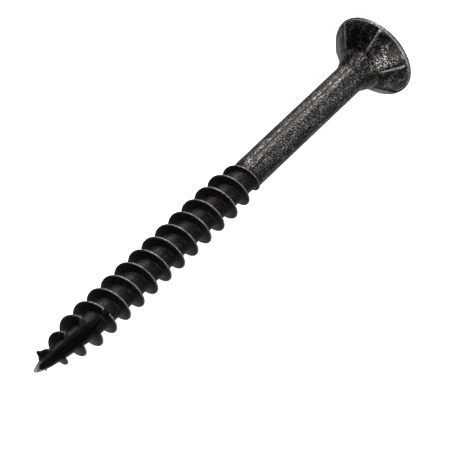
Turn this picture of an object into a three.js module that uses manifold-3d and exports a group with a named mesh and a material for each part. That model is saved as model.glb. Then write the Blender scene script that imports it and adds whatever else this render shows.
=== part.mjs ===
// Countersunk wood screw of the 5 x 60 mm class: partly threaded, with ribs under the head
// and a fluted cutting point.
//
// Frame: millimetres. The axis of the screw is the X axis. The flat top of the head lies in
// the plane x = 0 and faces +X, and the tip is at x = -overallLength. Angles about the axis
// run from +Y towards +Z. The thread is right-handed.
//
// A screw like this is one piece of steel. Its zones are solids of their own here, and meet
// face to face on planes square to the axis: head, neck, shank, thread and point.

import * as THREE from 'three';
import Module from 'manifold-3d';

// Driving dimensions, in mm and degrees.
const overallLength = 60;

const headDiameter = 10.2;
const rimHeight = 0.38; // the narrow band around the edge of the head
const rimFlare = 0.12; // how far the band leans out between the cone and the flat top
const countersinkAngle = 90;

const neckTopDiameter = 5.2;
const neckLength = 2.15;

const shankDiameter = 3.56;
const shankEnd = -22.8;

const threadDiameter = 4.86;
const coreDiameter = 3.1;
const pitch = 2.32;
const crestWidth = 0.14;
const flankAngle = 20; // each flank leans this far from the plane square to the axis
const crestAngle = 120.7; // where about the axis a crest passes crestStation
const crestStation = -38.57;
const runOutStart = -22.9; // the thread rises out of the shank here
const runOutLength = 4.5;
const coreStepStart = -23.6; // the shank steps down to the thread's core here
const coreStepLength = 1.3;

const pointTop = -49.4; // the point is the zone from here to the tip
const coreTaperLength = 9.5; // from the tip to the full core
const crestTaperStart = 0.6; // distance from the tip where the thread begins
const crestTaperEnd = 7.5; // distance from the tip where the thread is full

const tipOffset = 0.3; // the tip was pinched a little off the axis
const tipOffsetAngle = 30.7; // and in this direction
const tipOffsetLength = 9; // over this length
const tipOffsetCurve = 1.4; // 1 is a straight lean, and more keeps the lean nearer the tip
const tipSkew = 0.15; // the side it leans to also slid towards the tip, mm per mm off the axis

const fluteAngle = 118.2; // the direction in which the flute opens
const fluteOpening = 79;
const fluteFloorRadius = 0.3; // the floor is rounded between the two faces
const fluteTipFloor = 0.1; // height of the flute's floor above the axis, at the tip
const fluteEndFloor = 0.22; // and where it starts to run out
const fluteTipSide = 0.05; // how far the floor lies to one side of the axis, at the tip
const fluteEndSide = 0.42; // and where it starts to run out
const fluteLength = 5.6; // from the tip to the start of the run-out
const fluteRunOutRadius = 5.8; // the floor curves up and out at this radius
const fluteRunOutTurn = 53; // and through this angle, which brings it past the crests

const ribCount = 6;
const ribAngle = 41.7; // the crest of the first rib
const ribLead = 6; // degrees from a crest down its steep, leading side
const ribTrail = 24; // and down its long trailing side
const ribRiseAtNeck = 0.14; // how far a crest stands out, measured square to the axis
const ribRiseAtRim = 0.28;

const recessMeanRadius = 1.93; // six-lobed drive recess
const recessLobeHeight = 0.32;
const recessLobes = 6;
const recessDepth = 2.1;
const recessConeDepth = 0.45;

const columnsPerTurn = 32; // facets around the shank, the thread and the point
const recessColumns = 60;
const fluteFloorSteps = 3; // facets on each half of the flute's rounded floor
const fluteRunOutSteps = 6; // and along its run-out

// Sizes worked out from those.
const degrees = Math.PI / 180;
const rimTopRadius = headDiameter / 2;
const rimBottomRadius = rimTopRadius - rimFlare;
const neckTopRadius = neckTopDiameter / 2;
const shankRadius = shankDiameter / 2;
const coreRadius = coreDiameter / 2;
const threadRadius = threadDiameter / 2;
const coneSlope = Math.tan((countersinkAngle / 2) * degrees); // radius gained per mm of x
const headBottom = -rimHeight - (rimBottomRadius - neckTopRadius) / coneSlope;
const neckBottom = headBottom - neckLength;
const tip = -overallLength;
const snap = 0.02; // stations closer than this to the end of a zone move onto it

// Builds one closed mesh from columns that run along the axis. Each column is a list of
// [x, radius] stations with rising x at one angle. The last column is the first one again,
// one full turn on. Stations that coincide become one vertex, and the ends are flat.
function skinOfColumns(columns) {
  const positions = [];
  const triangles = [];
  const known = new Map();

  function vertex(x, radius, angle) {
    const point = [x, radius * Math.cos(angle), radius * Math.sin(angle)];
    const key = point.map((value) => Math.round(value * 1e5)).join();
    if (!known.has(key)) {
      known.set(key, positions.length / 3);
      positions.push(...point);
    }
    return known.get(key);
  }

  function triangle(a, b, c) {
    if (a !== b && b !== c && c !== a) {
      triangles.push(a, b, c);
    }
  }

  const grid = columns.map(({ angle, stations }) =>
    stations.map(([x, radius]) => vertex(x, radius, angle)));
  const lowCentre = vertex(columns[0].stations[0][0], 0, 0);
  const highCentre = vertex(columns[0].stations.at(-1)[0], 0, 0);

  for (let i = 0; i + 1 < grid.length; i++) {
    const here = grid[i];
    const next = grid[i + 1];
    for (let j = 0; j + 1 < here.length; j++) {
      triangle(here[j], next[j], next[j + 1]);
      triangle(here[j], next[j + 1], here[j + 1]);
    }
    triangle(lowCentre, next[0], here[0]);
    triangle(highCentre, here.at(-1), next.at(-1));
  }

  const geometry = new THREE.BufferGeometry();
  geometry.setAttribute('position', new THREE.Float32BufferAttribute(positions, 3));
  geometry.setIndex(triangles);
  return geometry;
}

// A plain turned solid from [x, radius] points with rising x.
function turned(points) {
  const outline = [
    new THREE.Vector2(0, points[0][0]),
    ...points.map(([x, radius]) => new THREE.Vector2(radius, x)),
    new THREE.Vector2(0, points.at(-1)[0]),
  ];
  const geometry = new THREE.LatheGeometry(outline, columnsPerTurn);
  geometry.rotateZ(-Math.PI / 2); // the lathe turns about Y, and the screw lies along X
  return geometry;
}

// Boolean cut of one closed geometry by another.
const wasm = await Module();
wasm.setup();

function solid(geometry) {
  const mesh = new wasm.Mesh({
    numProp: 3,
    vertProperties: new Float32Array(geometry.attributes.position.array),
    triVerts: new Uint32Array(geometry.index.array),
  });
  return new wasm.Manifold(mesh);
}

function cut(geometry, tool) {
  const mesh = solid(geometry).subtract(solid(tool)).getMesh();
  const result = new THREE.BufferGeometry();
  result.setAttribute('position', new THREE.Float32BufferAttribute(mesh.vertProperties, 3));
  result.setIndex(Array.from(mesh.triVerts));
  return result;
}

// ---- Head: flat top, rim band, ribbed countersink cone and drive recess ----

// How far the ribs stand out of the cone at an angle, as a share of the crest's rise.
function ribShare(angle) {
  const spacing = 360 / ribCount;
  const raw = (angle / degrees - ribAngle) % spacing;
  const past = (raw + spacing) % spacing; // degrees past the last crest
  if (past < ribTrail) {
    return 1 - past / ribTrail;
  }
  return Math.max(0, 1 - (spacing - past) / ribLead);
}

// One column of the head, from the neck up to the flat top. The ribbed cone ends where it
// meets the rim band, so the band is wider over a rib.
function headColumn(angle) {
  const share = ribShare(angle);
  const riseSlope = (ribRiseAtRim - ribRiseAtNeck) / (rimBottomRadius - neckTopRadius);
  const bottomRadius = neckTopRadius + share * ribRiseAtNeck;
  const ribbedSlope = coneSlope * (1 + share * riseSlope);
  const rimSlope = rimFlare / rimHeight;
  const meet = (rimTopRadius - bottomRadius + ribbedSlope * headBottom)
    / (ribbedSlope - rimSlope);
  return {
    angle,
    stations: [
      [headBottom, bottomRadius],
      [meet, rimTopRadius + rimSlope * meet],
      [0, rimTopRadius],
    ],
  };
}

function headGeometry() {
  const spacing = 360 / ribCount;
  const floor = spacing - ribLead - ribTrail;
  const steps = [
    0,
    ribTrail / 4,
    ribTrail / 2,
    (ribTrail * 3) / 4,
    ribTrail,
    ribTrail + floor / 4,
    ribTrail + floor / 2,
    ribTrail + (floor * 3) / 4,
    ribTrail + floor,
  ];
  const columns = [];
  for (let rib = 0; rib < ribCount; rib++) {
    for (const step of steps) {
      columns.push(headColumn((ribAngle + rib * spacing + step) * degrees));
    }
  }
  columns.push(headColumn((ribAngle + 360) * degrees));
  return cut(skinOfColumns(columns), recessTool());
}

function recessTool() {
  const columns = [];
  for (let i = 0; i <= recessColumns; i++) {
    const angle = (i / recessColumns) * 2 * Math.PI;
    const radius = recessMeanRadius + recessLobeHeight * Math.cos(recessLobes * angle);
    columns.push({
      angle,
      stations: [
        [-recessDepth - recessConeDepth, 0],
        [-recessDepth, radius],
        [1, radius],
      ],
    });
  }
  return skinOfColumns(columns);
}

// ---- Thread: a core with one right-handed ridge, shared by the thread and the point ----

function ramp(x, start, length) {
  return THREE.MathUtils.clamp((start - x) / length, 0, 1);
}

// Radius of the core: the shank's at the top, then the thread's root, then the taper.
function coreRadiusAt(x) {
  const fromTip = x - tip;
  if (fromTip < coreTaperLength) {
    return coreRadius * Math.sqrt(Math.max(0, fromTip) / coreTaperLength);
  }
  return THREE.MathUtils.lerp(shankRadius, coreRadius, ramp(x, coreStepStart, coreStepLength));
}

// Radius of the crest: it rises out of the shank and tapers away towards the tip.
function crestRadiusAt(x) {
  const taper = (x - tip - crestTaperStart) / (crestTaperEnd - crestTaperStart);
  const tapered = threadRadius * Math.sqrt(THREE.MathUtils.clamp(taper, 0, 1));
  const runOut = THREE.MathUtils.lerp(shankRadius, threadRadius, ramp(x, runOutStart, runOutLength));
  return Math.max(coreRadiusAt(x), Math.min(tapered, runOut));
}

// The middle of the ridge at an angle, on the turn numbered 0 and on the others.
function ridgeMiddle(angle, turn) {
  return crestStation + pitch * ((angle / degrees - crestAngle) / 360 + turn);
}

// Half the width of the ridge at its root. Both flanks lean by flankAngle.
function halfRootWidth(middle) {
  const height = crestRadiusAt(middle) - coreRadiusAt(middle);
  return crestWidth / 2 + height * Math.tan(flankAngle * degrees);
}

function threadedRadiusAt(x, angle) {
  const turn = Math.round((x - ridgeMiddle(angle, 0)) / pitch);
  const middle = ridgeMiddle(angle, turn);
  const halfCrest = crestWidth / 2;
  const flank = Math.max(halfRootWidth(middle) - halfCrest, 1e-6);
  const share = 1 - (Math.abs(x - middle) - halfCrest) / flank;
  return THREE.MathUtils.lerp(coreRadiusAt(x), crestRadiusAt(x), THREE.MathUtils.clamp(share, 0, 1));
}

// The stations of one column follow the helix, so every ridge line is a clean edge. Those
// past an end of the zone are moved onto it.
function threadedColumn(low, high, angle) {
  const firstTurn = Math.floor((low - crestStation) / pitch) - 2;
  const lastTurn = Math.ceil((high - crestStation) / pitch) + 2;
  const stations = [];
  for (let turn = firstTurn; turn <= lastTurn; turn++) {
    const middle = ridgeMiddle(angle, turn);
    const halfRoot = halfRootWidth(middle);
    const halfCrest = crestWidth / 2;
    stations.push([middle - halfRoot, coreRadiusAt(middle - halfRoot)]);
    stations.push([middle - halfCrest, crestRadiusAt(middle - halfCrest)]);
    stations.push([middle + halfCrest, crestRadiusAt(middle + halfCrest)]);
    stations.push([middle + halfRoot, coreRadiusAt(middle + halfRoot)]);
    stations.push([middle + pitch / 2, coreRadiusAt(middle + pitch / 2)]);
  }
  const kept = stations.map(([x, radius]) => {
    if (x < low + snap) {
      return [low, threadedRadiusAt(low, angle)];
    }
    if (x > high - snap) {
      return [high, threadedRadiusAt(high, angle)];
    }
    return [x, radius];
  });
  return { angle, stations: kept };
}

function threadedGeometry(low, high) {
  const columns = [];
  for (let i = 0; i <= columnsPerTurn; i++) {
    columns.push(threadedColumn(low, high, (i / columnsPerTurn) * 2 * Math.PI));
  }
  return skinOfColumns(columns);
}

// ---- Point: the tapered end, with one V-shaped flute that cuts through the thread ----

// The flute's tool is a wedge with a rounded lower edge, which opens outwards. Each section
// of it is an outline in its own frame, [height above the axis, sideways].
function fluteSection(floor, sideways) {
  const reach = threadRadius * 3;
  const half = (fluteOpening / 2) * degrees;
  const turn = Math.PI / 2 - half; // from the middle of the rounded floor to a face
  const centre = floor + fluteFloorRadius;
  const outline = [];
  for (let i = -fluteFloorSteps; i <= fluteFloorSteps; i++) {
    const angle = (i / fluteFloorSteps) * turn;
    outline.push([
      centre - fluteFloorRadius * Math.cos(angle),
      sideways + fluteFloorRadius * Math.sin(angle),
    ]);
  }
  const wide = outline.at(-1)[1] - sideways + (reach - outline.at(-1)[0]) * Math.tan(half);
  return [[reach, sideways - wide], ...outline, [reach, sideways + wide]];
}

// The sections run from before the tip to the run-out, where the floor curves up and out of
// the thread. The finished tool is turned to the flute's direction.
function fluteTool() {
  const places = [-1, fluteLength];
  const runOutLength = fluteRunOutRadius * Math.sin(fluteRunOutTurn * degrees);
  for (let i = 1; i <= fluteRunOutSteps; i++) {
    places.push(fluteLength + (i / fluteRunOutSteps) * runOutLength);
  }
  const sections = places.map((fromTip) => {
    const share = fromTip / fluteLength;
    const past = Math.max(0, fromTip - fluteLength);
    const rise = fluteRunOutRadius - Math.sqrt(fluteRunOutRadius ** 2 - past ** 2);
    const floor = THREE.MathUtils.lerp(fluteTipFloor, fluteEndFloor, Math.min(share, 1)) + rise;
    const sideways = THREE.MathUtils.lerp(fluteTipSide, fluteEndSide, Math.min(share, 1));
    return fluteSection(floor, sideways).map(([height, side]) => [tip + fromTip, height, side]);
  });
  const count = sections[0].length;
  const triangles = [];
  for (let k = 0; k + 1 < sections.length; k++) {
    for (let i = 0; i < count; i++) {
      const a = k * count + i;
      const b = k * count + ((i + 1) % count);
      triangles.push(a, b + count, b, a, a + count, b + count);
    }
  }
  const last = (sections.length - 1) * count;
  for (let i = 1; i + 1 < count; i++) {
    triangles.push(0, i, i + 1, last, last + i + 1, last + i);
  }
  const geometry = new THREE.BufferGeometry();
  geometry.setAttribute('position', new THREE.Float32BufferAttribute(sections.flat(2), 3));
  geometry.setIndex(triangles);
  geometry.rotateX(fluteAngle * degrees);
  return geometry;
}

// Leans the last stretch over to one side and skews it, more and more towards the tip.
function leanTip(geometry) {
  const position = geometry.attributes.position;
  const y = Math.cos(tipOffsetAngle * degrees);
  const z = Math.sin(tipOffsetAngle * degrees);
  for (let i = 0; i < position.count; i++) {
    const along = ramp(position.getX(i), tip + tipOffsetLength, tipOffsetLength);
    const share = along ** tipOffsetCurve;
    const side = position.getY(i) * y + position.getZ(i) * z;
    position.setXYZ(
      i,
      position.getX(i) - share * tipSkew * side,
      position.getY(i) + share * tipOffset * y,
      position.getZ(i) + share * tipOffset * z,
    );
  }
  return geometry;
}

function pointGeometry() {
  return leanTip(cut(threadedGeometry(tip, pointTop), fluteTool()));
}

// ---- Materials: blackened steel, a little browner and brighter where it is worn ----

function steel(color, roughness) {
  return new THREE.MeshStandardMaterial({ color, roughness, metalness: 0.85 });
}

const screw = new THREE.Group();

function add(name, geometry, material) {
  const mesh = new THREE.Mesh(geometry, material);
  mesh.name = name;
  screw.add(mesh);
}

add('head', headGeometry(), steel(0x2e2c2c, 0.45));
add('neck', turned([[neckBottom, shankRadius], [headBottom, neckTopRadius]]), steel(0x2b2a2a, 0.5));
add('shank', turned([[shankEnd, shankRadius], [neckBottom, shankRadius]]), steel(0x353231, 0.45));
add('thread', threadedGeometry(pointTop, shankEnd), steel(0x232222, 0.5));
add('point', pointGeometry(), steel(0x1f1e1e, 0.5));

export default screw;
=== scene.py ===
import math

import bmesh
import bpy
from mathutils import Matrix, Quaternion, Vector, noise


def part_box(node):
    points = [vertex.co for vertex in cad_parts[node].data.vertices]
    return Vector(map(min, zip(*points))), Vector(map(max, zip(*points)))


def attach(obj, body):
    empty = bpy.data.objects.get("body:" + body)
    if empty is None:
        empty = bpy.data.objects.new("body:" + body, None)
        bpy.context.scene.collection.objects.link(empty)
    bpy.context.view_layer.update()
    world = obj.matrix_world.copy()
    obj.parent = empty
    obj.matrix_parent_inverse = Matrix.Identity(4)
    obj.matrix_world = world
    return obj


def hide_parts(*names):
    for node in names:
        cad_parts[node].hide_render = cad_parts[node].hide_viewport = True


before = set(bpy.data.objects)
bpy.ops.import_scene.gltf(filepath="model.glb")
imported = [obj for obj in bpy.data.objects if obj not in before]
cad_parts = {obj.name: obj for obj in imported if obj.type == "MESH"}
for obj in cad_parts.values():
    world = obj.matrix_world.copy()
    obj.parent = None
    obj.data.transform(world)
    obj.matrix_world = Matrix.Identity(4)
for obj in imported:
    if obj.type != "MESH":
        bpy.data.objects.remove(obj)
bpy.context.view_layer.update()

# Countersunk wood screw lying on its side. The axis of the screw is the X axis, with the flat
# top of the head at x = 0 facing +X and the tip at -X. Angles about the axis run from +Y
# towards +Z. Lengths below are in millimetres and angles in degrees, and meshes are scaled to
# metres when they are made.
MM = 0.001


def corner(node, end, axis):
    """One coordinate, in mm, of a CAD node's box: end 0 is the low corner and 1 the high one."""
    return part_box(node)[end][axis] / MM


# Places and radii taken from the CAD frame.
TIP = corner("point", 0, 0)
POINT_TOP = corner("point", 1, 0)
SHANK_END = corner("thread", 1, 0)
NECK_BOTTOM = corner("neck", 0, 0)
HEAD_BOTTOM = corner("neck", 1, 0)
HEAD_RADIUS = corner("head", 1, 1)
NECK_TOP_RADIUS = corner("neck", 1, 1)
SHANK_RADIUS = corner("shank", 1, 1)
THREAD_RADIUS = 2.43
CORE_RADIUS = 1.55

# Head.
RIM_HEIGHT = 0.38
RIM_FLARE = 0.12
RIM_ROUND = 0.05
RIB_COUNT = 6
RIB_ANGLE = 41.7
RIB_LEAD = 3.5
RIB_TRAIL = 24
RIB_RISE_AT_NECK = 0.14
RIB_RISE_AT_RIM = 0.28
RIB_FOOT = 0.25  # the ribs rise out of the neck's corner over this length
RIB_END = 0.35  # and sink into the cone again below the rim
RIB_ROUND = 1.1  # half the width of a rib's rounded crest, in degrees
RECESS_RADIUS = 1.93
RECESS_LOBE = 0.32
RECESS_LOBES = 6
RECESS_DEPTH = 2.1
RECESS_CONE = 0.45
RECESS_EDGE = 0.08  # rounding of the recess's edge
CONE_SLOPE = 1.0
CONE_DENTS = 0.01
RIM_BOTTOM_RADIUS = HEAD_RADIUS - RIM_FLARE
RIM_SLOPE = RIM_FLARE / RIM_HEIGHT

# Neck and shank: the wire was drawn through a die, which left one fine line along it. The line's
# groove is also darkened with painted shade.
NECK_BLEND = 0.3  # the neck bends out of the shank over this length
NECK_RIPPLE = 0.01
SHANK_RIPPLE = 0.006
DIE_LINE_ANGLE = 90.5
DIE_LINE_HALF = 10
DIE_LINE_DEPTH = 0.05
DIE_LINE_FADE = 0.6  # and ends this far up the neck

# Thread.
PITCH = 2.32
CREST_HALF = 0.07
FLANK_ANGLE = 20
CREST_ANGLE = 120.7
CREST_STATION = -38.57
RUN_OUT_START = -22.9
RUN_OUT_LENGTH = 4.5
CORE_STEP_START = -23.6
CORE_STEP_LENGTH = 1.3
CORE_TAPER = 9.5
CREST_TAPER_START = 0.6
CREST_TAPER_END = 7.5
ROOT_FILLET = 0.2  # share of the ridge's height that is fillet, at the root
CREST_ROUND = 0.06  # and rounding, at the crest

# Point.
TIP_OFFSET = 0.3
TIP_OFFSET_ANGLE = 30.7
TIP_OFFSET_LENGTH = 9
TIP_OFFSET_CURVE = 1.4
TIP_SKEW = 0.15
TIP_WORN = 1.6
BURR_FROM_TIP = 2.35  # a curl of metal stands up on the ridge here
BURR_ANGLE = 20
BURR_HALF = 20
BURR_RISE = 0.36
FLUTE_ANGLE = 118.2
FLUTE_OPENING = 79
FLUTE_FLOOR_RADIUS = 0.05
FLUTE_TIP_FLOOR = -0.04
FLUTE_END_FLOOR = 0.08
FLUTE_TIP_SIDE = 0.05
FLUTE_END_SIDE = 0.42
FLUTE_LENGTH = 5.6
FLUTE_RUN_OUT_RADIUS = 5.8
FLUTE_RUN_OUT_TURN = 53
WALL_STEP = 0.16  # size of the facets of the flute's faces

# Meshes.
COLUMNS = 144  # around the screw
CONE_RINGS = 22
NECK_RINGS = 24
SHANK_RINGS = 90
SNAP = 0.02  # a station this close to a zone's end lies on it
WELD = 0.002  # corners that lie closer than this after a cut become one
ON_FACE = 0.01  # a corner this close to one of the flute's faces lies on it

# Wear and painted shade, a value of each vertex: 0 is the usual skin, above 0 the bare steel
# shows more and more, and below 0 is painted shade, the plain dark skin without grains, and more
# matte.
PAINTED_SHADE = -1.0
RIB_WEAR = 1.8
RIB_WORN_FROM = 0.85  # share of a rib's rise where its worn top starts
RIB_WORN_FADE = 0.08
RIB_FOOT_SHADE_HALF = 0.8  # half the width, in degrees, of the painted shade, plain dark skin, at a rib's steep foot
# the recess's edge is worn, and lightened further as a painted highlight
RECESS_EDGE_WEAR_AND_HIGHLIGHT = 2.0
TIP_WEAR = 3.0
WALL_WEAR = 0.2  # at the edge of the flute's upper wall
DEEP_WALL_WEAR = -0.2  # and at its foot
RIDGE_CUT_WEAR = 1.2  # at the crest of the ridge that the wall cuts through


# ---- Mesh making ----

def clamp(value, low=0.0, high=1.0):
    return max(low, min(high, value))


def smooth(value):
    value = clamp(value)
    return value * value * (3 - 2 * value)


def lerp(a, b, share):
    return a + (b - a) * share


def skin(name, columns):
    """One closed mesh from columns along the axis, each (angle, [(x, radius, wear), ...]).

    Stations that coincide become one vertex, and each end is closed by a fan. The last column
    is joined to the first one, unless it lies a whole turn on and already is the first one.
    """
    points = []
    wear_and_shade_values = []
    known = {}

    def vertex(x, radius, wear_and_shade, angle):
        point = (x, radius * math.cos(angle), radius * math.sin(angle))
        key = tuple(round(value * 1e5) for value in point)
        if key not in known:
            known[key] = len(points)
            points.append(point)
            wear_and_shade_values.append(wear_and_shade)
        return known[key]

    grid = [[vertex(*station, math.radians(angle)) for station in stations]
            for angle, stations in columns]
    low = vertex(columns[0][1][0][0], 0, 0, 0)
    high = vertex(columns[0][1][-1][0], 0, 0, 0)
    faces = []

    def face(*corners):
        unique = list(dict.fromkeys(corners))
        if len(unique) > 2:
            faces.append(unique)

    followers = grid[1:]
    if columns[-1][0] - columns[0][0] < 360:
        followers.append(grid[0])
    for here, after in zip(grid, followers):
        for j in range(len(here) - 1):
            face(here[j], after[j], after[j + 1], here[j + 1])
        face(low, after[0], here[0])
        face(high, here[-1], after[-1])

    mesh = bpy.data.meshes.new(name)
    mesh.from_pydata([Vector(point) * MM for point in points], [], faces)
    wear_and_shade = mesh.attributes.new("wear_and_shade", "FLOAT", "POINT")
    wear_and_shade.data.foreach_set("value", wear_and_shade_values)
    mesh.validate()
    mesh.update()
    piece = bpy.data.objects.new(name, mesh)
    bpy.context.scene.collection.objects.link(piece)
    return piece


def shade(piece, crease=32):
    """Smooth shading, with edges sharper than crease degrees kept sharp."""
    for polygon in piece.data.polygons:
        polygon.use_smooth = True
    piece.data.set_sharp_from_angle(angle=math.radians(crease))


def dents(x, angle, scale, seed):
    """A smooth bump field on the surface of the screw, about -1 to 1, the same on every run."""
    turn = math.radians(angle)
    place = Vector((x, 2 * math.cos(turn), 2 * math.sin(turn))) * scale
    return noise.noise(place + Vector((seed, 0, 0)))


# ---- Head ----

def rib_share(angle):
    """How far a rib stands out of the cone, as a share of its crest's rise.

    A rib's two sides are straight, and its crest is a parabola that meets them both.
    """
    spacing = 360 / RIB_COUNT
    past = (angle - RIB_ANGLE + RIB_ROUND) % spacing - RIB_ROUND
    if past > RIB_TRAIL:
        return max(0.0, 1 - (spacing - past) / RIB_LEAD)
    if past > RIB_ROUND:
        return 1 - past / RIB_TRAIL
    low = 1 - RIB_ROUND / RIB_LEAD
    high = 1 - RIB_ROUND / RIB_TRAIL
    along = (past + RIB_ROUND) / (2 * RIB_ROUND)
    middle = (low + high) / 2 + 0.25 * RIB_ROUND * (1 / RIB_LEAD + 1 / RIB_TRAIL)
    ends = lerp(low, high, along)
    return ends + (middle - (low + high) / 2) * 4 * along * (1 - along)


def in_rib_foot_shade(angle):
    """True at the foot of a rib's steep side, where shade is painted as plain dark skin."""
    spacing = 360 / RIB_COUNT
    past = (angle - RIB_ANGLE) % spacing
    return abs(spacing - past - RIB_LEAD) < RIB_FOOT_SHADE_HALF


def head_column(angle):
    """Up the cone with its ribs, up the rim, over the flat top and down into the recess."""
    share = rib_share(angle)
    rise_slope = (RIB_RISE_AT_RIM - RIB_RISE_AT_NECK) / (RIM_BOTTOM_RADIUS - NECK_TOP_RADIUS)
    cone_top = -RIM_HEIGHT - RIM_ROUND
    stations = []
    for i in range(CONE_RINGS + 1):
        x = lerp(HEAD_BOTTOM, cone_top, i / CONE_RINGS)
        up = x - HEAD_BOTTOM
        standing = smooth(up / RIB_FOOT) * smooth((cone_top - x) / RIB_END)
        rise = share * (RIB_RISE_AT_NECK + rise_slope * up) * standing
        radius = NECK_TOP_RADIUS + CONE_SLOPE * up + rise
        radius += CONE_DENTS * dents(x, angle, scale=1.6, seed=3.0) * clamp(up / RIB_FOOT)
        wear_and_shade = RIB_WEAR * smooth((share - RIB_WORN_FROM) / RIB_WORN_FADE) * standing
        # painted shade at the foot of the rib's steep side
        if in_rib_foot_shade(angle):
            wear_and_shade = PAINTED_SHADE * standing
        stations.append((x, radius, wear_and_shade))
    return angle, stations + rim_stations() + recess_stations(angle)


def rim_stations():
    """Up the rim, which is worn along its lower edge and its upper one."""
    return [
        (-RIM_HEIGHT, RIM_BOTTOM_RADIUS - 0.3 * RIM_ROUND, 1.6),
        (-RIM_HEIGHT + RIM_ROUND, RIM_BOTTOM_RADIUS + RIM_SLOPE * RIM_ROUND, 1.3),
        (-2 * RIM_ROUND, HEAD_RADIUS - RIM_SLOPE * 2 * RIM_ROUND, 0.3),
        (-RIM_ROUND, HEAD_RADIUS - RIM_SLOPE * RIM_ROUND, 0.8),
        (-0.3 * RIM_ROUND, HEAD_RADIUS - 0.3 * RIM_ROUND, 1.2),
        (0, HEAD_RADIUS - RIM_ROUND, 0.3),
    ]


def recess_stations(angle):
    """From the flat top over the recess's rounded edge, down its wall and to its cone."""
    radius = RECESS_RADIUS + RECESS_LOBE * math.cos(RECESS_LOBES * math.radians(angle))
    edge = RECESS_EDGE
    return [
        (0, radius + 2 * edge, 0),
        # worn edge, lightened further as a painted highlight
        (0, radius + edge, 0.8 * RECESS_EDGE_WEAR_AND_HIGHLIGHT),
        (-0.3 * edge, radius + 0.3 * edge, RECESS_EDGE_WEAR_AND_HIGHLIGHT),
        (-edge, radius, 0.5 * RECESS_EDGE_WEAR_AND_HIGHLIGHT),
        # painted shade: the recess's wall and cone are plain dark skin
        (-2 * edge, radius, PAINTED_SHADE),
        (-RECESS_DEPTH + edge, radius, PAINTED_SHADE),
        (-RECESS_DEPTH, radius - edge, PAINTED_SHADE),
        (-RECESS_DEPTH - 0.5 * RECESS_CONE, radius * 0.5, PAINTED_SHADE),
        (-RECESS_DEPTH - RECESS_CONE, 0, PAINTED_SHADE),
    ]


def rib_angles():
    """Columns of the head: close together at each rib's crest and foot, and wider elsewhere.

    Steps are degrees past a rib's crest.
    """
    spacing = 360 / RIB_COUNT
    crest = [-RIB_ROUND, -0.6, 0, 0.6, RIB_ROUND, 1.8]
    slope = list(range(3, RIB_TRAIL, 2)) + [RIB_TRAIL, 25.5]
    plain = list(range(28, 50, 3)) + [51.5, 53.5, 55.2]
    foot = [56, spacing - RIB_LEAD, 57, 57.7, 58.3]
    steps = crest + slope + plain + foot
    return [RIB_ANGLE + rib * spacing + step for rib in range(RIB_COUNT) for step in steps]


def make_head():
    return skin("head_form", [head_column(angle) for angle in rib_angles()])


# ---- Neck and shank ----

def turned(name, stations, ripple):
    """A turned piece with a faint ripple and the die line.

    Each station is (x, radius, share of both, share of the die line). The share of both is 0
    at a piece's ends, so that the pieces meet.
    """
    columns = []
    for angle in turned_angles():
        line = clamp(1 - abs(angle - DIE_LINE_ANGLE) / DIE_LINE_HALF)
        groove = DIE_LINE_DEPTH * line
        # the die line's groove is darkened with painted shade, the plain dark skin
        columns.append((angle, [
            (x, radius + held * (ripple * dents(x, angle, scale=0.9, seed=7.0) - groove * lined),
             PAINTED_SHADE * line * lined)
            for x, radius, held, lined in stations]))
    return skin(name, columns)


def turned_angles():
    """Even columns, with closer ones across the die line."""
    even = [360 * i / COLUMNS for i in range(COLUMNS)]
    near = [DIE_LINE_ANGLE + DIE_LINE_HALF * share for share in (-1, -0.5, 0, 0.5, 1)]
    kept = [angle for angle in even if abs(angle - DIE_LINE_ANGLE) > 1.3 * DIE_LINE_HALF]
    return sorted(kept + near)


def make_neck():
    slope = (NECK_TOP_RADIUS - SHANK_RADIUS) / (HEAD_BOTTOM - NECK_BOTTOM - NECK_BLEND / 2)
    stations = []
    for i in range(NECK_RINGS + 1):
        x = lerp(NECK_BOTTOM, HEAD_BOTTOM, i / NECK_RINGS)
        up = x - NECK_BOTTOM
        if up < NECK_BLEND:
            radius = SHANK_RADIUS + slope * up * up / (2 * NECK_BLEND)
        else:
            radius = SHANK_RADIUS + slope * (up - NECK_BLEND / 2)
        held = math.sin(math.pi * i / NECK_RINGS)
        stations.append((x, radius, held, clamp(1 - up / DIE_LINE_FADE)))
    return turned("neck_form", stations, NECK_RIPPLE)


def make_shank():
    stations = []
    for i in range(SHANK_RINGS + 1):
        x = lerp(SHANK_END, NECK_BOTTOM, i / SHANK_RINGS)
        held = clamp(8 * math.sin(math.pi * i / SHANK_RINGS))  # fades out near both ends
        stations.append((x, SHANK_RADIUS, held, 1))
    return turned("shank_form", stations, SHANK_RIPPLE)


# ---- Thread ----

def ramp(x, start, length):
    return clamp((start - x) / length)


def core_radius(x):
    from_tip = x - TIP
    if from_tip < CORE_TAPER:
        return CORE_RADIUS * math.sqrt(max(0.0, from_tip) / CORE_TAPER)
    return lerp(SHANK_RADIUS, CORE_RADIUS, smooth(ramp(x, CORE_STEP_START, CORE_STEP_LENGTH)))


def crest_radius(x):
    taper = (x - TIP - CREST_TAPER_START) / (CREST_TAPER_END - CREST_TAPER_START)
    tapered = THREAD_RADIUS * math.sqrt(clamp(taper))
    run_out = lerp(SHANK_RADIUS, THREAD_RADIUS, ramp(x, RUN_OUT_START, RUN_OUT_LENGTH))
    return max(core_radius(x), min(tapered, run_out))


def ridge_middle(angle, turn):
    return CREST_STATION + PITCH * ((angle - CREST_ANGLE) / 360 + turn)


def half_root(middle):
    height = crest_radius(middle) - core_radius(middle)
    return CREST_HALF + height * math.tan(math.radians(FLANK_ANGLE))


def rounded_step(value):
    """0 below the root and 1 above the crest, straight between, with both corners rounded."""
    if value < ROOT_FILLET:
        return max(0.0, value + ROOT_FILLET) ** 2 / (4 * ROOT_FILLET)
    if value > 1 - CREST_ROUND:
        return 1 - max(0.0, 1 + CREST_ROUND - value) ** 2 / (4 * CREST_ROUND)
    return value


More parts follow.
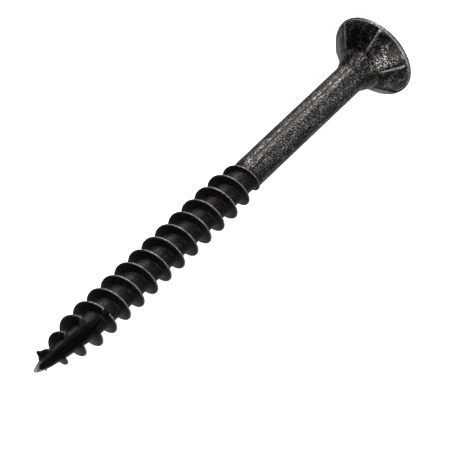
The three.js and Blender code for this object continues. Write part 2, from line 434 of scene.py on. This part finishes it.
def threaded_radius(x, angle):
    turn = round((x - ridge_middle(angle, 0)) / PITCH)
    middle = ridge_middle(angle, turn)
    flank = max(half_root(middle) - CREST_HALF, 1e-6)
    share = rounded_step(clamp(1 - (abs(x - middle) - CREST_HALF) / flank, -1, 2))
    return lerp(core_radius(x), crest_radius(x) + burr(x, angle), share), crest_wear(share, x)


def burr(x, angle):
    """Extra height of the ridge's crest where a curl of metal stands up on it."""
    near = abs(x - TIP - BURR_FROM_TIP) < PITCH / 2
    return BURR_RISE * smooth(1 - abs(angle - BURR_ANGLE) / BURR_HALF) if near else 0


def crest_wear(share, x):
    """The ridge is worn along its crest, less where it is low, and the tip is worn all over."""
    height = clamp((crest_radius(x) - core_radius(x)) / 0.3)
    crest = smooth((share - 0.9) / 0.1) * height
    return max(crest, TIP_WEAR * smooth((TIP + TIP_WORN - x) / TIP_WORN))


# Places across one ridge and the valley after it. Each is a height on the flank, as a share of
# the ridge's height, on the side towards the tip (-1) or the head (1).
FLANK_STEPS = [-ROOT_FILLET, -ROOT_FILLET / 2, 0, ROOT_FILLET / 2, ROOT_FILLET,
               0.4, 0.6, 0.8, 1 - CREST_ROUND, 1, 1 + CREST_ROUND]
VALLEY_STEPS = [0.2, 0.4, 0.6, 0.8]


def threaded_column(low, high, angle):
    first = math.floor((low - CREST_STATION) / PITCH) - 2
    last = math.ceil((high - CREST_STATION) / PITCH) + 2
    places = []
    for turn in range(first, last + 1):
        middle = ridge_middle(angle, turn)
        flank = half_root(middle) - CREST_HALF
        rounding = min(flank * CREST_ROUND, CREST_HALF * 0.8)  # some of the crest stays flat
        offsets = []
        for step in FLANK_STEPS:
            if step > 1:
                offsets.append(CREST_HALF - rounding)
            else:
                offsets.append(CREST_HALF + flank * (1 - step))
        places += [middle - offset for offset in offsets]
        places += [middle + offset for offset in reversed(offsets)]
        valley_start = middle + offsets[0]
        after = ridge_middle(angle, turn + 1)
        valley_end = after - (half_root(after) + (half_root(after) - CREST_HALF) * ROOT_FILLET)
        places += [lerp(valley_start, valley_end, step) for step in VALLEY_STEPS]
    stations = []
    for place in places:
        x = place
        if x < low + SNAP:
            x = low
        if x > high - SNAP:
            x = high
        radius, wear_and_shade = threaded_radius(x, angle)
        stations.append((x, radius, wear_and_shade))
    return angle, stations


def threaded(name, low, high):
    """The first column is also the last one, a whole pitch on, so that the turns join up."""
    columns = [threaded_column(low, high, 360 * i / COLUMNS) for i in range(COLUMNS)]
    per_turn = 2 * len(FLANK_STEPS) + len(VALLEY_STEPS)
    stations = columns[0][1]
    columns.append((360, stations[per_turn:] + [stations[-1]] * per_turn))
    return skin(name, columns)


def make_thread():
    return threaded("thread_form", POINT_TOP, SHANK_END)


# ---- Point ----

def lean(point):
    """Leans the last stretch over to one side and skews it, more and more towards the tip."""
    x, y, z = point
    share = ramp(x, TIP + TIP_OFFSET_LENGTH, TIP_OFFSET_LENGTH) ** TIP_OFFSET_CURVE
    to_y = math.cos(math.radians(TIP_OFFSET_ANGLE))
    to_z = math.sin(math.radians(TIP_OFFSET_ANGLE))
    side = y * to_y + z * to_z
    return (x - share * TIP_SKEW * side,
            y + share * TIP_OFFSET * to_y,
            z + share * TIP_OFFSET * to_z)


def flute_floor(from_tip):
    """Height of the flute's floor above the axis, and how far it lies to one side."""
    share = min(from_tip / FLUTE_LENGTH, 1)
    past = max(0, from_tip - FLUTE_LENGTH)
    rise = FLUTE_RUN_OUT_RADIUS - math.sqrt(FLUTE_RUN_OUT_RADIUS ** 2 - past ** 2)
    floor = lerp(FLUTE_TIP_FLOOR, FLUTE_END_FLOOR, share) + rise
    return floor, lerp(FLUTE_TIP_SIDE, FLUTE_END_SIDE, share)


def flute_section(from_tip):
    """Outline of the flute's cutting tool, as (height above the axis, sideways)."""
    floor, sideways = flute_floor(from_tip)
    reach = 3 * THREAD_RADIUS
    half = math.radians(FLUTE_OPENING / 2)
    turn = math.pi / 2 - half
    centre = floor + FLUTE_FLOOR_RADIUS
    steps = 5
    outline = []
    for i in range(-steps, steps + 1):
        angle = turn * i / steps
        outline.append((centre - FLUTE_FLOOR_RADIUS * math.cos(angle),
                        sideways + FLUTE_FLOOR_RADIUS * math.sin(angle)))
    top, out = outline[-1][0], outline[-1][1] - sideways
    rises = [WALL_STEP * (k + 1) for k in range(round(1.2 * THREAD_RADIUS / WALL_STEP))]
    wall = [(top + rise, out + rise * math.tan(half)) for rise in rises + [reach - top]]
    left = [(height, sideways - side) for height, side in reversed(wall)]
    right = [(height, sideways + side) for height, side in wall]
    return left + outline + right


def flute_tool():
    """A wedge with a rounded lower edge. Its floor curves up and out of the thread."""
    run_out = FLUTE_RUN_OUT_RADIUS * math.sin(math.radians(FLUTE_RUN_OUT_TURN))
    steps = round(FLUTE_LENGTH / WALL_STEP)
    places = [-1] + [FLUTE_LENGTH * i / steps for i in range(steps + 1)]
    steps = round(run_out / WALL_STEP)
    places += [FLUTE_LENGTH + run_out * (i + 1) / steps for i in range(steps)]
    turn = math.radians(FLUTE_ANGLE)
    points = []
    for from_tip in places:
        section = flute_section(from_tip)
        for height, side in section:
            points.append(Vector((TIP + from_tip,
                                  height * math.cos(turn) - side * math.sin(turn),
                                  height * math.sin(turn) + side * math.cos(turn))) * MM)
    count = len(section)
    faces = [tuple(range(count))]
    for k in range(len(places) - 1):
        for i in range(count):
            a = k * count + i
            b = k * count + (i + 1) % count
            faces.append((a, a + count, b + count, b))
    faces.append(tuple(reversed(range(len(points) - count, len(points)))))
    mesh = bpy.data.meshes.new("flute_tool")
    mesh.from_pydata(points, [], faces)
    mesh.update()
    tool = bpy.data.objects.new("flute_tool", mesh)
    bpy.context.scene.collection.objects.link(tool)
    return tool


def outward(mesh):
    work = bmesh.new()
    work.from_mesh(mesh)
    bmesh.ops.recalc_face_normals(work, faces=work.faces)
    work.to_mesh(mesh)
    work.free()


def cut(piece, tool):
    outward(piece.data)
    outward(tool.data)
    modifier = piece.modifiers.new("cut", "BOOLEAN")
    modifier.object = tool
    modifier.operation = "DIFFERENCE"
    modifier.solver = "EXACT"
    graph = bpy.context.evaluated_depsgraph_get()
    result = bpy.data.meshes.new_from_object(piece.evaluated_get(graph))
    piece.modifiers.clear()
    piece.data = result
    result.name = piece.name
    bpy.data.objects.remove(tool)
    work = bmesh.new()
    work.from_mesh(result)
    bmesh.ops.triangulate(work, faces=work.faces)
    bmesh.ops.remove_doubles(work, verts=work.verts, dist=WELD * MM)
    bmesh.ops.dissolve_degenerate(work, edges=work.edges, dist=WELD * MM)
    work.to_mesh(result)
    work.free()


def on_flute(point):
    """True for a point, in mm, on one of the flute's faces before the tip was leant."""
    x, y, z = point
    turn = math.radians(FLUTE_ANGLE)
    height = y * math.cos(turn) + z * math.sin(turn)
    from_tip = clamp(x - TIP, 0, POINT_TOP - TIP)
    floor, sideways = flute_floor(from_tip)
    off = abs(z * math.cos(turn) - y * math.sin(turn) - sideways)
    half = math.radians(FLUTE_OPENING / 2)
    centre = floor + FLUTE_FLOOR_RADIUS
    apex = centre - FLUTE_FLOOR_RADIUS / math.sin(half)
    from_wall = abs(off * math.cos(half) - (height - apex) * math.sin(half))
    from_floor = abs(math.hypot(height - centre, off) - FLUTE_FLOOR_RADIUS)
    return min(from_wall, from_floor) < ON_FACE and height > floor - ON_FACE


def paint_flute_wear_and_shade(piece):
    """The flute's lower wall and floor are painted shade, the plain dark skin. Its upper wall is
    rubbed towards the edge and at the cut ridge.

    The ridge is rubbed on the upper half of its height, and the last millimetre of the tip all
    over.
    """
    wear_and_shade = piece.data.attributes["wear_and_shade"]
    turn = math.radians(FLUTE_ANGLE)
    for vertex, value in zip(piece.data.vertices, wear_and_shade.data):
        x, y, z = vertex.co / MM
        if on_flute((x, y, z)):
            upper = z * math.cos(turn) < y * math.sin(turn)
            out = math.hypot(y, z) - core_radius(x)
            height = max(crest_radius(x) - core_radius(x), SNAP)
            wall = lerp(WALL_WEAR, DEEP_WALL_WEAR, smooth(-out / max(core_radius(x), SNAP)))
            wall = lerp(wall, RIDGE_CUT_WEAR, smooth((out / height - 0.5) / 0.4))
            # painted shade on the flute's lower wall and floor
            wall = wall if upper else PAINTED_SHADE
            value.value = lerp(TIP_WEAR, wall, smooth((x - TIP - 0.4) / 0.6))


def make_point():
    piece = threaded("point_form", TIP, POINT_TOP)
    cut(piece, flute_tool())
    paint_flute_wear_and_shade(piece)
    for vertex in piece.data.vertices:
        vertex.co = Vector(lean(vertex.co / MM)) * MM
    return piece


# ---- Materials ----

class Nodes:
    """Short names for building one node material."""

    def __init__(self, name):
        self.material = bpy.data.materials.new(name)
        self.material.use_nodes = True
        self.tree = self.material.node_tree
        self.shader = self.tree.nodes["Principled BSDF"]

    def link(self, source, target):
        if isinstance(source, (int, float, tuple)):
            target.default_value = source
        else:
            self.tree.links.new(source, target)

    def node(self, kind, **settings):
        made = self.tree.nodes.new(kind)
        for key, value in settings.items():
            setattr(made, key, value)
        return made

    def place(self, scale):
        """Coordinates in mm on the screw, stretched by scale."""
        where = self.node("ShaderNodeTexCoord")
        mapping = self.node("ShaderNodeMapping")
        mapping.inputs["Scale"].default_value = [s / MM for s in scale]
        self.link(where.outputs["Object"], mapping.inputs["Vector"])
        return mapping.outputs["Vector"]

    def noise(self, scale, roughness=0.55):
        made = self.node("ShaderNodeTexNoise")
        made.inputs["Scale"].default_value = 1.0
        made.inputs["Detail"].default_value = 2.0
        made.inputs["Roughness"].default_value = roughness
        self.link(self.place(scale), made.inputs["Vector"])
        return made.outputs["Fac"]

    def spread(self, value, low, high, to_low=0.0, to_high=1.0):
        made = self.node("ShaderNodeMapRange", interpolation_type="SMOOTHSTEP")
        self.link(value, made.inputs["Value"])
        for key, number in (("From Min", low), ("From Max", high),
                            ("To Min", to_low), ("To Max", to_high)):
            self.link(number, made.inputs[key])
        return made.outputs["Result"]

    def math(self, operation, a, b):
        made = self.node("ShaderNodeMath", operation=operation)
        self.link(a, made.inputs[0])
        self.link(b, made.inputs[1])
        return made.outputs["Value"]

    def mix(self, share, a, b):
        made = self.node("ShaderNodeMix", data_type="RGBA")
        self.link(share, made.inputs["Factor"])
        self.link(a, made.inputs["A"])
        self.link(b, made.inputs["B"])
        return made.outputs["Result"]

    def along(self):
        """Place along the screw, in mm: 0 at the top of the head and negative below it."""
        made = self.node("ShaderNodeSeparateXYZ")
        self.link(self.place((1, 1, 1)), made.inputs["Vector"])
        return made.outputs["X"]

    def wear_and_shade(self):
        # the per-vertex value: wear above 0 and painted shade below 0
        made = self.node("ShaderNodeAttribute", attribute_name="wear_and_shade")
        return made.outputs["Fac"]


COOL = (0.42, 0.425, 0.43, 1)  # the grains are of two tints
WARM = (0.45, 0.4, 0.35, 1)
BARE = (0.48, 0.47, 0.46, 1)

# Noise scales, per mm along X, Y and Z.
GRAINS = (6.5, 6.5, 6.5)
PATCHES = (0.7, 0.7, 0.7)
TINTS = (1.3, 1.3, 1.3)
DRAWN_LINES = (0.25, 9, 9)
GRAIN_HEIGHT = 0.035
SKIN_BLEND = 2.2  # length over which the thread's skin turns into the shank's


def black_steel(name, coat=0.014, grain=1.0, smooth_rough=0.3, grain_rough=0.5, lines=0.0,
                between=0.55, onto_shank=False):
    """Blackened steel: a near-black skin under fine light grains, and bare metal where worn.

    coat is the brightness of the skin. grain and lines say how much the grains and the drawn
    lines along the screw show. smooth_rough is the roughness of the skin and grain_rough that
    of the grains. between is the share of grains that are left between the patches where
    they are thick. With onto_shank the skin turns into the shank's where the shank ends.
    """
    made = Nodes(name)
    if onto_shank:
        near = made.spread(made.along(), SHANK_END - SKIN_BLEND, SHANK_END)
        grain = made.spread(near, 0, 1, grain, 1.0)
        smooth_rough = made.spread(near, 0, 1, smooth_rough, 0.3)
    skin_colour = (coat, coat * 0.98, coat, 1)
    patches = made.noise(PATCHES)
    grains = made.noise(GRAINS, 0.7)
    tints = made.noise(TINTS)

    mask = made.math("MULTIPLY", made.spread(grains, 0.51, 0.62),
                     made.spread(patches, 0.42, 0.56, between, 1))
    if lines:
        drawn = made.noise(DRAWN_LINES, 0.6)
        mask = made.math("MULTIPLY", mask, made.spread(drawn, 0.35, 0.6, 1 - lines, 1))
    mask = made.math("MULTIPLY", mask, grain)
    colour = made.mix(mask, skin_colour, made.mix(made.spread(tints, 0.46, 0.6), COOL, WARM))
    rubbed = made.math("MULTIPLY", made.math("MAXIMUM", made.wear_and_shade(), 0.0),
                       made.spread(grains, 0.36, 0.56, 0.12, 0.55))
    colour = made.mix(made.math("MINIMUM", rubbed, 1.0), colour, BARE)
    # Painted shade: where the value is below 0 the colour is the plain dark skin, and more
    # matte.
    whole = made.spread(made.wear_and_shade(), -0.3, -0.9)
    colour = made.mix(whole, colour, skin_colour)
    made.link(colour, made.shader.inputs["Base Color"])

    gloss = made.spread(grains, 0.4, 0.6, smooth_rough, grain_rough)
    gloss = made.math("MAXIMUM", gloss, made.math("MULTIPLY", whole, 0.5))
    gloss = made.math("MAXIMUM", gloss, made.spread(made.wear_and_shade(), 0, 1, 0, 0.6))
    made.link(gloss, made.shader.inputs["Roughness"])
    made.shader.inputs["Metallic"].default_value = 1.0

    bump = made.node("ShaderNodeBump")
    bump.inputs["Strength"].default_value = 0.5
    bump.inputs["Distance"].default_value = GRAIN_HEIGHT * MM
    made.link(grains, bump.inputs["Height"])
    made.link(bump.outputs["Normal"], made.shader.inputs["Normal"])
    return made.material


def glowing_table(name):
    """White acrylic lit from below, as a light table is."""
    made = Nodes(name)
    made.shader.inputs["Base Color"].default_value = (0.9, 0.9, 0.9, 1)
    made.shader.inputs["Roughness"].default_value = 0.9
    made.shader.inputs["Emission Color"].default_value = (1, 1, 1, 1)
    made.shader.inputs["Emission Strength"].default_value = 1.0
    return made.material


# ---- The screw ----

def finish_piece(piece, node, material, crease=32):
    outward(piece.data)
    shade(piece, crease)
    piece.data.materials.clear()
    piece.data.materials.append(material)
    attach(piece, "root")
    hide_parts(node)


head_steel = black_steel("head_steel", 0.012, 0.85, grain_rough=0.36, between=0.1)
neck_steel = black_steel("neck_steel", 0.012, 0.85, grain_rough=0.4, between=0.2)
shank_steel = black_steel("shank_steel", lines=0.8)
thread_steel = black_steel("thread_steel", 0.014, 0.12, 0.5, lines=0.8, onto_shank=True)
point_steel = black_steel("point_steel", 0.016, 0.05, 0.42)

finish_piece(make_head(), "head", head_steel, 30)
finish_piece(make_neck(), "neck", neck_steel)
finish_piece(make_shank(), "shank", shank_steel)
finish_piece(make_thread(), "thread", thread_steel)
finish_piece(make_point(), "point", point_steel)


# ---- Floor, light and camera ----

def direction(azimuth, elevation):
    """Unit vector from the screw towards a place round it. Azimuth 0 is -Y and 90 is +X."""
    a = math.radians(azimuth)
    e = math.radians(elevation)
    return Vector((math.sin(a) * math.cos(e), -math.cos(a) * math.cos(e), math.sin(e)))


MIDDLE = Vector((-30, 0, 0)) * MM
FLOOR_SIZE = 3.0  # metres
RESTING_CREST = -52.4  # the last full-size crest, which lies on the floor
LIGHT_FROM_ABOVE = 0.12
LIGHT_FROM_TABLE = 0.55
TOWARDS_TABLE = (0.1, 0.2, -1)
CAMERA_LENS = 264.6
CAMERA_AZIMUTH = -53.19
CAMERA_ELEVATION = 45.25
CAMERA_DISTANCE = 353.1
CAMERA_TARGET = (-31.4, -2.78, 0)
CAMERA_ROLL = -0.16


def make_floor():
    """The screw lies on the edge of its head and on the last full turns of its thread."""
    slope = math.atan2(HEAD_RADIUS - THREAD_RADIUS, -RESTING_CREST)
    mesh = bpy.data.meshes.new("floor")
    half = FLOOR_SIZE / 2
    mesh.from_pydata([(-half, -half, 0), (half, -half, 0), (half, half, 0), (-half, half, 0)],
                     [], [(0, 1, 2, 3)])
    floor = bpy.data.objects.new("floor", mesh)
    bpy.context.scene.collection.objects.link(floor)
    floor.location = Vector((0, 0, -HEAD_RADIUS)) * MM
    floor.rotation_euler = (0, slope, 0)
    mesh.materials.append(glowing_table("table"))
    floor.visible_glossy = False


def softbox(name, azimuth, elevation, distance, size, power, colour=(1, 1, 1)):
    """A rectangular light that faces the middle of the screw. Lengths are in metres."""
    data = bpy.data.lights.new(name, "AREA")
    data.shape = "RECTANGLE"
    data.size, data.size_y = size
    data.energy = power
    data.color = colour
    light = bpy.data.objects.new(name, data)
    bpy.context.scene.collection.objects.link(light)
    towards = direction(azimuth, elevation)
    light.location = MIDDLE + towards * distance
    light.rotation_euler = towards.to_track_quat("Z", "Y").to_euler()


def make_world():
    """White to look at. As a light it is dim, and brighter below, where the table is."""
    world = bpy.data.worlds.new("studio")
    bpy.context.scene.world = world
    world.use_nodes = True
    tree = world.node_tree
    background = tree.nodes["Background"]
    seen = tree.nodes.new("ShaderNodeLightPath")
    place = tree.nodes.new("ShaderNodeTexCoord")
    downwards = tree.nodes.new("ShaderNodeVectorMath")
    downwards.operation = "DOT_PRODUCT"
    downwards.inputs[1].default_value = TOWARDS_TABLE
    below = tree.nodes.new("ShaderNodeMapRange")
    strength = tree.nodes.new("ShaderNodeMapRange")
    tree.links.new(place.outputs["Generated"], downwards.inputs[0])
    tree.links.new(downwards.outputs["Value"], below.inputs["Value"])
    below.inputs["From Min"].default_value = -0.1
    below.inputs["From Max"].default_value = 0.9
    below.inputs["To Min"].default_value = LIGHT_FROM_ABOVE
    below.inputs["To Max"].default_value = LIGHT_FROM_TABLE
    tree.links.new(seen.outputs["Is Camera Ray"], strength.inputs["Value"])
    tree.links.new(below.outputs["Result"], strength.inputs["To Min"])
    strength.inputs["To Max"].default_value = 1.0
    background.inputs["Color"].default_value = (1, 1, 1, 1)
    tree.links.new(strength.outputs["Result"], background.inputs["Strength"])


def make_camera():
    """Long lens, high on the tip's side of the screw."""
    data = bpy.data.cameras.new("camera")
    data.sensor_width = 36
    data.lens = CAMERA_LENS
    data.clip_start = 0.01
    data.clip_end = 10
    camera = bpy.data.objects.new("camera", data)
    bpy.context.scene.collection.objects.link(camera)
    towards = direction(CAMERA_AZIMUTH, CAMERA_ELEVATION)
    camera.location = Vector(CAMERA_TARGET) * MM + towards * CAMERA_DISTANCE * MM
    roll = Quaternion((0, 0, 1), math.radians(CAMERA_ROLL))
    camera.rotation_mode = "QUATERNION"
    camera.rotation_quaternion = towards.to_track_quat("Z", "Y") @ roll
    bpy.context.scene.camera = camera


make_floor()
softbox("key", azimuth=118, elevation=50, distance=0.4, size=(0.26, 0.4), power=2.0,
        colour=(1, 0.96, 0.91))
softbox("top", azimuth=100, elevation=80, distance=0.6, size=(0.45, 0.45), power=0.8)
softbox("side", azimuth=52, elevation=22, distance=0.5, size=(0.25, 0.3), power=0.55,
        colour=(0.94, 0.97, 1))
softbox("fill", azimuth=-30, elevation=13, distance=0.5, size=(0.42, 0.2), power=2.0)
make_world()
make_camera()
bpy.context.scene.view_settings.view_transform = "Standard"
